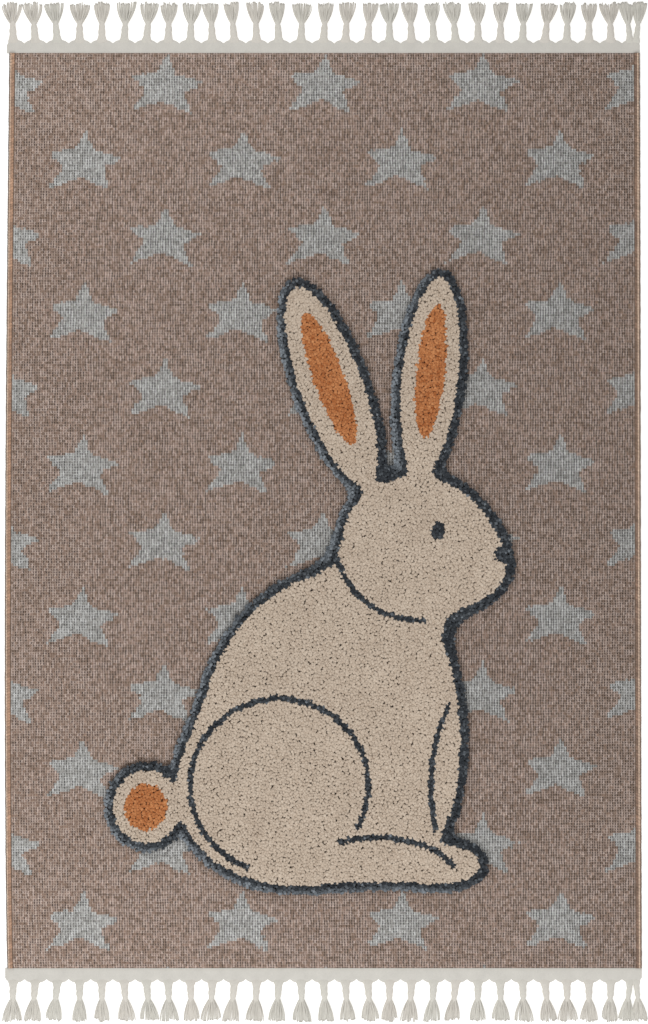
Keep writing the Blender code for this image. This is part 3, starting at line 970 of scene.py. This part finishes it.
@dataclass
class RaisedPile:
    """The rabbit picture's cut pile: one small four-sided tuft for each yarn."""

    drawing: RabbitDrawing = field(default_factory=RabbitDrawing)
    spacing: float = 0.0041
    root_r: float = 0.0030
    shoulder_r: float = 0.0035
    shoulder_at: float = 0.93
    root_z: float = 0.0045
    nap: tuple = (0.15, 0.15)
    stray: float = 0.09
    rim_lean: float = 0.22
    # The way of the painted light on the slate rim: tufts that face it are painted lighter.
    painted_light_side: tuple = (-0.90, -0.42)

    def build(self, groups: dict) -> list:
        """Build and dress the tufts, one piece for each yarn and two for the cream.

        Tufts stand on a jittered triangular grid inside the outline. Each has a root ring, a
        shoulder ring near its top and a tip; all lean with the nap, and those near the outline
        lean outwards too. The slate yarn is dark, and its tufts at the rim that face the lit side are
        painted lighter, as painted light.
        """
        draw = np.random.default_rng(11)
        x, y = self.grid(draw)
        away = self.drawing.distance(x, y)
        inside = away < -0.001
        x, y, away = x[inside], y[inside], away[inside]
        yarn = self.drawing.yarns(x, y, away)
        outward = self.drawing.outward(x, y)
        near_rim = ease(1 + away / 0.012)[:, None]
        lean = np.array(self.nap) + draw.normal(0, self.stray, (len(x), 2))
        lean = lean + outward * near_rim * self.rim_lean
        height = PLAN.pile_t - self.root_z + draw.normal(0, 0.0005, len(x))
        height -= near_rim[:, 0] * 0.0012
        size = draw.uniform(0.85, 1.15, len(x))
        turn = draw.uniform(0, np.pi / 2, len(x))
        tone = 0.5 + 0.17 * draw.standard_normal(len(x)) + 0.12 * waves(x, y, 0.09, 8)
        # Painted light: slate tufts at the rim on the left and lower left get a lighter tone.
        lit = np.clip(0.15 + outward @ np.array(self.painted_light_side), 0, 1) * ease((away + 0.010) / 0.005)
        specks = 0.13 * np.abs(draw.standard_normal(len(x))) ** 1.6
        slate = 0.05 + specks + lit * draw.uniform(0.25, 1.0, len(x))
        tone = np.clip(np.where(yarn == PileColour.SLATE.value, slate, tone), 0.0, 1.0)
        roots = np.stack([x, y, np.full(len(x), self.root_z)], -1)
        pieces = []
        for colour in PileColour:
            mine = yarn == colour.value
            halves = [mine & (y > -0.40), mine & (y <= -0.40)] if colour is PileColour.CREAM else [mine]
            material = PILE_FINISHES[colour].build(groups)
            for number, part in enumerate(halves):
                name = f"{PILE_FINISHES[colour].name}_{number + 1}"
                shapes = [values[part] for values in (roots, lean, height, size, turn, tone)]
                piece = self.tufts(name, *shapes)
                finish_piece(piece, [material])
                pieces.append(piece)
        return pieces

    def grid(self, draw: np.random.Generator) -> tuple:
        """Places on a triangular grid over the picture, each moved by up to a quarter step."""
        step_y = self.spacing * math.sqrt(3) / 2
        columns = np.arange(-0.44, 0.40, self.spacing)
        rows = np.arange(-0.76, 0.48, step_y)
        x, y = np.meshgrid(columns, rows)
        x[1::2] += self.spacing / 2
        x = x.ravel() + draw.uniform(-0.27, 0.27, x.size) * self.spacing
        y = y.ravel() + draw.uniform(-0.27, 0.27, y.size) * self.spacing
        return x, y

    def tufts(self, name, roots, lean, height, size, turn, tone) -> bpy.types.Object:
        """Join many tufts into one mesh.

        Args:
            name: the piece's name.
            roots: root centres, n by 3.
            lean: sideways way per unit of height, n by 2.
            height: heights above the roots.
            size: thickness of each tuft against the usual one.
            turn: turn of each tuft about its own height, in radians.
            tone: a shade for each tuft, 0 to 1.

        Returns:
            The piece.
        """
        count = len(roots)
        angles = turn[:, None] + np.arange(4) * np.pi / 2
        around = np.stack([np.cos(angles), np.sin(angles), np.zeros_like(angles)], -1)
        levels = ((0.0, self.root_r), (self.shoulder_at, self.shoulder_r))
        rings = []
        for share, radius in levels:
            up = height * share
            centre = roots + np.column_stack([lean * (up * share)[:, None] * 1.25, up])
            rings.append(centre[:, None, :] + around * (radius * size)[:, None, None])
        tip = roots + np.column_stack([lean * height[:, None] * 1.15, height])
        verts = np.concatenate([rings[0], rings[1], tip[:, None, :]], 1).reshape(-1, 3)
        a = np.arange(4)
        b = (a + 1) % 4
        walls = np.stack([a, b, b + 4, a + 4], -1)
        root = np.array([[3, 2, 1, 0]])
        top = np.stack([a + 4, b + 4, np.full(4, 8)], -1)
        shift = (np.arange(count) * 9)[:, None, None]
        quads = (np.concatenate([walls, root])[None] + shift).reshape(-1, 4)
        tris = (top[None] + shift).reshape(-1, 3)
        piece = mesh_piece(name, verts, quads, tris)
        rise = np.tile(np.array([0.0] * 4 + [self.shoulder_at] * 4 + [1.0]), count)
        add_values(piece, "rise", rise)
        add_values(piece, "tone", np.repeat(tone, 9))
        self.add_bake_map(piece, tone, rise)
        return piece

    def add_bake_map(self, piece: bpy.types.Object, tone: np.ndarray, rise: np.ndarray) -> None:
        """Lay every tuft on one small chart: its tone and corner across, its height upwards."""
        corner = np.tile(np.array([0, 1, 2, 1, 0, 1, 2, 1, 1.0]), len(tone))
        across = 0.03 + 0.90 * np.repeat(tone, 9) + 0.02 * corner
        add_map(piece, BAKE_MAP, np.stack([across, 0.03 + 0.94 * rise], -1))


@dataclass
class Selvedge:
    """The overlocked yarn along one long side: an outer lip in painted shade, a pale strand and a broad
    cord.

    The section's points go round from the outer side over the top to the cloth and back below, as
    a share of the half width outwards and a share of the height. For each side every point also
    has how pale its strand is and how much painted shade darkens it.
    """

    side: Side
    wrap_pitch: float = 0.0056
    steps_per_wrap: int = 4
    wrap_depth: float = 0.13
    slant: float = 0.35
    unevenness: float = 0.45
    edge_sway: float = 0.0003
    spare_half_w: float = 0.0002
    out: tuple = (
        1.0, 0.98, 0.82, 0.60, 0.50, 0.32, 0.14, -0.06, -0.28,
        -0.52, -0.74, -0.90, -1.08, -1.25, -1.3, -0.9, 0.7,
    )
    up: tuple = (
        0.22, 0.48, 0.70, 0.82, 0.94, 1.0, 0.97, 0.93, 0.96, 0.96, 0.92, 0.84, 0.84, 0.74, 0.45, 0.0, 0.0
    )
    left_pale: tuple = (
        0.0, 0.0, 0.0, 0.0, 0.9, 1.0, 0.35, 0.05, 0.05, 0.10, 0.0, 0.0, 0.0, 0.0, 0.0, 0.0, 0.0
    )
    # How much painted shade darkens each point of the section.
    left_shade: tuple = (
        1.0, 1.0, 1.0, 1.0, 0.10, 0.0, 0.10, 0.25, 0.15, 0.0, 0.0, 0.40, 0.95, 0.90, 0.9, 1.0, 1.0
    )
    right_pale: tuple = (
        0.10, 0.10, 0.05, 0.05, 0.05, 0.40, 1.0, 0.65, 0.05, 0.0, 0.05, 0.0, 0.0, 0.0, 0.0, 0.0, 0.0
    )
    # On the right the inner cord gets more painted shade.
    right_shade: tuple = (
        0.70, 0.70, 0.65, 0.50, 0.45, 0.10, 0.0, 0.0, 0.60, 0.40, 0.35, 0.55, 0.80, 0.90, 0.9, 1.0, 1.0
    )

    def build(self, material: bpy.types.Material) -> bpy.types.Object:
        """Build and dress the yarn.

        The section stands across the side at every step along it. It swells and shrinks once for
        each wrap, as 1 - depth * (1 - |sin(pi * phase)|), and the wraps slant over the two ridges.
        """
        steps = int(PLAN.length / self.wrap_pitch * self.steps_per_wrap) + 1
        y = np.linspace(-PLAN.length / 2, PLAN.length / 2, steps)[:, None]
        tones = (self.left_pale, self.left_shade)
        if self.side is Side.RIGHT:
            tones = (self.right_pale, self.right_shade)
        out, up, pale, deep = (np.array(values)[None, :] for values in (self.out, self.up, *tones))
        phase = y / self.wrap_pitch + self.slant * out + self.unevenness * waves(y, 0 * y, 0.035, 21)
        swell = np.abs(np.sin(np.pi * phase))
        shrink = 1 - self.wrap_depth * (1 - swell)
        middle = PLAN.side_reach(self.side, y) - PLAN.selvedge_w / 2
        sway = self.edge_sway * waves(y, 0 * y, 0.021, 22 + self.side.way) * (out > 0.5)
        half_w = PLAN.selvedge_w / 2 + self.spare_half_w
        x = self.side.way * (middle + half_w * out * (0.5 + 0.5 * shrink) + sway)
        z = PLAN.selvedge_t * up * shrink
        wall = np.stack(np.broadcast_arrays(x, y, z), -1)
        worn = 0.5 + 0.5 * waves(y, 0 * y, 0.06, 25 + self.side.way)
        wrap_tone = np.random.default_rng(26).uniform(-0.10, 0.30, 500)[np.floor(phase).astype(int)]
        pale = np.clip(pale * (0.70 + 0.45 * worn) + 0 * y, 0, 1)
        # Painted shade between the wraps where the yarn narrows, plus a random tone for each wrap.
        deep = deep + (1 - deep) * 0.45 * (1 - ease(1.5 * swell)) + (1 - pale) * wrap_tone
        deep = np.clip(deep, 0, 1)
        warm = np.clip(self.side.warmth + 0.35 * waves(y, 0 * y, 0.12, 23) + 0 * out, 0, 1)
        if self.side is Side.LEFT:
            wall, pale, deep = wall[:, ::-1], pale[:, ::-1], deep[:, ::-1]
        verts = np.concatenate([wall.reshape(-1, 3), wall[[0, -1]].mean(axis=1)])
        name = self.side.node.replace("selvedge", "overlock")
        piece = mesh_piece(name, verts, *ring_faces(steps, len(self.out), 1, turned=True))
        for name, values in (("pale", pale), ("deep", deep), ("warm", warm)):
            add_values(piece, name, np.append(values.ravel(), [0.5, 0.5]))
        finish_piece(piece, [material], self.side.node)
        return piece


@dataclass
class TasselRow:
    """Where the tassels of one end stand, as in the rug's construction."""

    end: End
    pitch: float = 0.0418
    count: int = 29
    first_x: float = -0.5868
    pair_half_pitch: float = 0.0053
    pair_spread: float = 0.0085

    def places(self) -> tuple:
        """The tassels from left to right: place on the band, sideways stray of the tips, girth."""
        index = np.arange(self.count - 1)
        x = self.first_x + self.pitch * index
        slow = 0.0062 * np.sin(2 * np.pi * (index - 3.6) / 9.0)
        quick = 0.0022 * np.sin(2.4 * index + 0.6)
        pair_x = self.first_x + self.pitch * (self.count - 1)
        x = np.append(x, [pair_x - self.pair_half_pitch, pair_x + self.pair_half_pitch])
        lean = np.append(slow + quick, [-self.pair_spread, self.pair_spread])
        girth = np.append(np.ones(self.count - 1), [0.80, 0.80])
        return x, lean, girth


@dataclass
class Fringe:
    """The cotton band across one end and the tassels that hang out of it."""

    end: End
    band_columns: int = 20
    band_rows: int = 9
    band_corner_r: float = 0.003
    band_edge_deg: float = 60.0
    neck_steps: int = 24
    strand_steps: int = 9
    skirt_strands: int = 28
    most_locks: int = 6
    strand_r: float = 0.00125
    neck_corners: int = 14
    twist_pitch: float = 0.024
    lobe: float = 0.17
    waist_reach: float = 0.0376
    tip_half: float = 0.0164
    foot_proud: float = 0.0068
    foot_power: float = 3.6
    neck_reach: tuple = (0.000, 0.003, 0.006, 0.008, 0.010, 0.014, 0.018, 0.024, 0.029, 0.033, 0.037, 0.043)
    neck_half_mm: tuple = (9.8, 10.1, 9.7, 8.9, 8.1, 7.4, 7.1, 7.0, 6.7, 5.9, 5.1, 5.2)
    neck_tall_mm: tuple = (2.6, 4.0, 5.2, 6.0, 6.6, 7.4, 8.0, 8.4, 8.4, 7.8, 7.0, 6.4)

    def band(self, material: bpy.types.Material) -> bpy.types.Object:
        """Build and dress the band.

        The top is a grid over x and the share across the band. Its outer edge stands out at each
        tassel and falls to a cusp between two, as 1 - |way to the cusp|^power, its outer corners
        are a quarter round, and its height falls off towards the edges.
        """
        row = TasselRow(self.end)
        end_y = self.end.way * PLAN.length / 2
        left_x = -PLAN.band_reach(Side.LEFT, self.end)
        right_x = PLAN.band_reach(Side.RIGHT, self.end)
        columns = row.count * self.band_columns
        across = self.band_rows
        corner_r = self.band_corner_r
        x_line = np.linspace(left_x, right_x, columns + 1)
        from_end = np.minimum(x_line - left_x, right_x - x_line)
        cell = (x_line - row.first_x + row.pitch / 2) % row.pitch - row.pitch / 2
        bump = self.foot_proud * (1 - np.abs(cell * 2 / row.pitch) ** self.foot_power)
        bump = bump * ease(from_end / 0.008)
        corner = corner_r * (1 - np.sqrt(1 - np.clip(1 - from_end / corner_r, 0, 1) ** 2))
        reach = self.end.band_w + bump - corner
        share = np.linspace(0, 1, across)[:, None]
        out = PLAN.gap + share * (reach - PLAN.gap)[None, :]
        x = np.broadcast_to(x_line, out.shape)
        y = end_y + self.end.way * out
        edge = np.minimum(ease(share * 7), ease((1 - share) * 5))
        side = ease(from_end / 0.0018)[None, :]
        top_z = PLAN.band_t * (0.80 + 0.20 * edge * side) + 0.00012 * waves(x, y, 0.012, 31)
        top = np.stack([x, y, top_z], -1).reshape(-1, 3)
        quads, rim = grid_faces(across, columns + 1)
        bottom = top.copy()
        bottom[:, 2] = 0.0
        under = quads[:, ::-1] + len(top)
        walls = np.stack([rim, rim + len(top), np.roll(rim, -1) + len(top), np.roll(rim, -1)], -1)
        faces = np.concatenate([quads, under, walls])
        if self.end is End.LOWER:
            faces = faces[:, ::-1]
        name = self.end.node.replace("fringe", "band")
        piece = mesh_piece(name, np.concatenate([top, bottom]), faces)
        piece.data.set_sharp_from_angle(angle=math.radians(self.band_edge_deg))
        finish_piece(piece, [material], self.end.node)
        return piece

    def tassels(self, material: bpy.types.Material) -> bpy.types.Object:
        """Build and dress the tassels: a twisted neck each, and a skirt of strands in a few locks."""
        draw = np.random.default_rng(40 + self.end.way)
        x, lean, girth = TasselRow(self.end).places()
        tint = draw.uniform(0, 1, len(x))
        neck_places, neck_quads, neck_tris = self.necks(x, lean, girth)
        places, quads, tris, number, share = self.skirts(x, lean, girth, draw)
        shift = len(neck_places)
        faces = [np.concatenate([neck_quads, quads + shift]), np.concatenate([neck_tris, tris + shift])]
        if self.end is End.TOP:
            faces = [part[:, ::-1] for part in faces]
        name = self.end.node.replace("fringe", "tassels")
        piece = mesh_piece(name, np.concatenate([neck_places, places]), *faces)
        # Painted shade between strands: a strand's tone below 1 mixes its colour towards the shadow colour.
        strand_tone = 1 - np.abs(draw.normal(0, 0.13, number.max() + 1)).clip(0, 0.55)
        neck_tone = np.full(shift, 0.95)
        add_values(piece, "tone", np.concatenate([neck_tone, strand_tone[number]]))
        tassel = number // self.skirt_strands
        neck_tint = np.repeat(tint, shift // len(x))
        add_values(piece, "tint", np.concatenate([neck_tint, tint[tassel]]))
        add_values(piece, "share", np.concatenate([np.zeros(shift), share]))
        finish_piece(piece, [material], self.end.node)
        return piece

    def out_of_band(self, reach: np.ndarray) -> np.ndarray:
        """The y of a distance out from the band's cusps."""
        return self.end.way * (PLAN.length / 2 + self.end.band_w + reach)

    def necks(self, x: np.ndarray, lean: np.ndarray, girth: np.ndarray) -> tuple:
        """One closed tube for each neck, with the two lobes of a twisted cord.

        A ring's corner at angle a lies at half width * r * cos a and half height * (1 + r * sin a),
        with r = 1 - lobe * (1 - |cos(a - turn)|) and the turn growing along the neck. The lobes
        fade into the wide flat heel that sits on the band.

        Returns:
            Corner places, quads and tris of all the necks.
        """
        steps = self.neck_steps
        n = self.neck_corners
        reach = np.linspace(self.neck_reach[0], self.neck_reach[-1], steps)
        half = np.interp(reach, self.neck_reach, self.neck_half_mm)[None, :, None] / 1000
        half = half * girth[:, None, None]
        tall = np.interp(reach, self.neck_reach, self.neck_tall_mm)[None, :, None] / 2000
        fade = ease((reach - 0.006) / 0.008)[None, :, None]
        angle = (2 * np.pi * (np.arange(n) + 0.5) / n)[None, None, :]
        phase = 1.7 * np.arange(len(x))[:, None, None]
        turn = 2 * np.pi * reach[None, :, None] / self.twist_pitch + phase
        ring = 1 - self.lobe * fade * (1 - np.abs(np.cos(angle - turn)))
        centre = x[:, None, None] + lean[:, None, None] * reach[None, :, None] / self.end.tip_reach
        across = centre + half * ring * np.cos(angle)
        up = tall * (1 + ring * np.sin(angle))
        y = self.out_of_band(reach)[None, :, None]
        walls = np.stack(np.broadcast_arrays(across, y, up), -1).reshape(len(x), -1, 3)
        ends = walls.reshape(len(x), steps, n, 3)[:, [0, -1]].mean(axis=2)
        verts = np.concatenate([walls, ends], 1)
        return verts.reshape(-1, 3), *ring_faces(steps, n, len(x))

    def skirts(self, x: np.ndarray, lean: np.ndarray, girth: np.ndarray, draw) -> tuple:
        """Strands that bulge out of the waist and fan to ragged tips on the floor.

        A strand keeps its share a of the skirt's half width, drawn towards the middle of its lock
        the nearer it is to the tips, and its share b of the skirt's height under the round
        sqrt(1 - a^2), so that the head is a flattened bundle. Locks differ in length and stray.
        """
        steps = self.strand_steps
        count = self.skirt_strands
        size = (len(x), count)
        place = ((np.arange(count) + 0.5) / count * 2 - 1)[None, :]
        locks = draw.integers(3, self.most_locks + 1, (len(x), 1))
        lock = np.minimum(((place + 1) / 2 * locks).astype(int), locks - 1)
        middle = (lock + 0.5) / locks * 2 - 1
        lock_stray = np.take_along_axis(draw.normal(0, 0.035, (len(x), self.most_locks)), lock, 1)
        lock_length = np.take_along_axis(draw.normal(0, 0.034, (len(x), self.most_locks)), lock, 1)
        place = np.clip(place + draw.normal(0, 0.04, size), -1, 1)
        layer = (np.arange(count) * 0.618 % 1.0)[None, :] + draw.normal(0, 0.08, size)
        layer = np.clip(layer, 0, 1)
        length = 1.02 + draw.normal(0, 0.022, (len(x), 1)) + lock_length
        length = length + draw.normal(0, 0.034, size) - 0.04 * place**2
        length = np.minimum(length, 1.10)
        s = np.linspace(0, 1, steps)
        run = self.end.tip_reach - self.waist_reach
        reach = self.waist_reach - 0.001 + (run + 0.001) * s[None, None, :] * length[:, :, None]
        opened = draw.uniform(0.88, 1.16, (len(x), 1, 1)) * girth[:, None, None]
        fan = 1 - (1 - s) ** 1.75
        spread = 0.0034 + (self.tip_half * opened - 0.0034) * fan
        gather = 0.05 * s**1.5
        across = place[:, :, None] * (1 - gather) + middle[:, :, None] * gather
        across = across + lock_stray[:, :, None] * s**1.5
        tall = 0.0060 + 0.0030 * np.sin(np.pi * np.clip(s * 1.4, 0, 1)) - 0.0035 * s
        centre = x[:, None, None] + lean[:, None, None] * reach / self.end.tip_reach
        round_off = np.sqrt(1 - 0.85 * place[:, :, None] ** 2)
        radius = self.strand_r * (1.0 - 0.30 * s**3)
        radius = radius * draw.uniform(0.85, 1.2, (len(x), count, 1))
        height = radius + layer[:, :, None] * (tall - 2 * self.strand_r).clip(0) * round_off
        y = self.out_of_band(reach)
        paths = np.stack(np.broadcast_arrays(centre + across * spread, y, height), -1)
        return tubes(paths.reshape(-1, steps, 3), radius.reshape(-1, steps), sides=5)


@dataclass
class Studio:
    """A white floor, soft light and a camera straight above."""

    lens: float = 85.0
    metres_per_pixel: float = 0.00189
    picture_h: int = 1024
    sensor: float = 36.0
    aim_y: float = -0.0026

    def floor(self) -> None:
        """Lay the floor a hair below the rug."""
        corners = np.array([[-8, -8, 0], [8, -8, 0], [8, 8, 0], [-8, 8, 0]], float)
        corners[:, 2] = -0.0002
        piece = mesh_piece("studio_floor", corners, np.array([[0, 1, 2, 3]]))
        material, _, shader = new_material("studio_floor", 0.8, sheen=0.0)
        shader.inputs["Base Color"].default_value = (0.90, 0.90, 0.89, 1.0)
        shader.inputs["Emission Color"].default_value = (1.0, 0.995, 0.985, 1.0)
        shader.inputs["Emission Strength"].default_value = 0.45
        piece.data.materials.append(material)

    def lights(self) -> None:
        """Stand one soft light beyond each left corner and a weaker one on the right, in a pale surround."""
        self.area("upper left", (-0.83, 2.32, 1.67), 1.5, 21.8)
        self.area("lower left", (-0.97, -2.67, 2.27), 1.5, 50.1)
        self.area("right", (1.99, -0.77, 2.09), 1.8, 18.7)
        world = bpy.data.worlds.new("studio")
        world.use_nodes = True
        world.node_tree.nodes["Background"].inputs["Color"].default_value = (1.0, 0.995, 0.985, 1.0)
        world.node_tree.nodes["Background"].inputs["Strength"].default_value = 0.425
        bpy.context.scene.world = world

    def area(self, name: str, place: tuple, size: float, power: float) -> None:
        """Hang one square area light that faces the middle of the rug."""
        data = bpy.data.lights.new(name, "AREA")
        data.size = size
        data.energy = power
        light = bpy.data.objects.new(name, data)
        light.location = place
        light.rotation_euler = (-Vector(place)).to_track_quat("-Z", "Y").to_euler()
        bpy.context.collection.objects.link(light)

    def camera(self) -> None:
        """Set the camera so high that a pixel of the picture covers its share of the rug."""
        data = bpy.data.cameras.new("camera")
        data.lens = self.lens
        data.sensor_width = self.sensor
        data.clip_end = 50.0
        tall = self.metres_per_pixel * self.picture_h
        made = bpy.data.objects.new("camera", data)
        made.location = (0.0, self.aim_y, tall * self.lens / self.sensor)
        bpy.context.collection.objects.link(made)
        bpy.context.scene.camera = made
        bpy.context.scene.view_settings.view_transform = "Standard"

    def build(self) -> None:
        """Set up the whole studio."""
        self.floor()
        self.lights()
        self.camera()


def main() -> None:
    """Build the studio and the rug's pieces in order."""
    logging.basicConfig(level=logging.INFO, format="%(message)s")
    Studio().build()
    groups = {
        "grain": yarn_grain_group(),
        "weave": ribbed_weave_group(),
        "stars": woven_star_group(),
    }
    ground = GroundCloth().build(groups)
    pile = RaisedPile().build(groups)
    yarn = SelvedgeFinish().build(groups)
    edges = [Selvedge(side).build(yarn) for side in Side]
    cotton = CottonFinish()
    band_material = cotton.build_band(groups)
    yarn_material = cotton.build_yarn(groups)
    for end in End:
        fringe = Fringe(end)
        fringe.band(band_material)
        fringe.tassels(yarn_material)


if __name__ == "__main__":
    main()
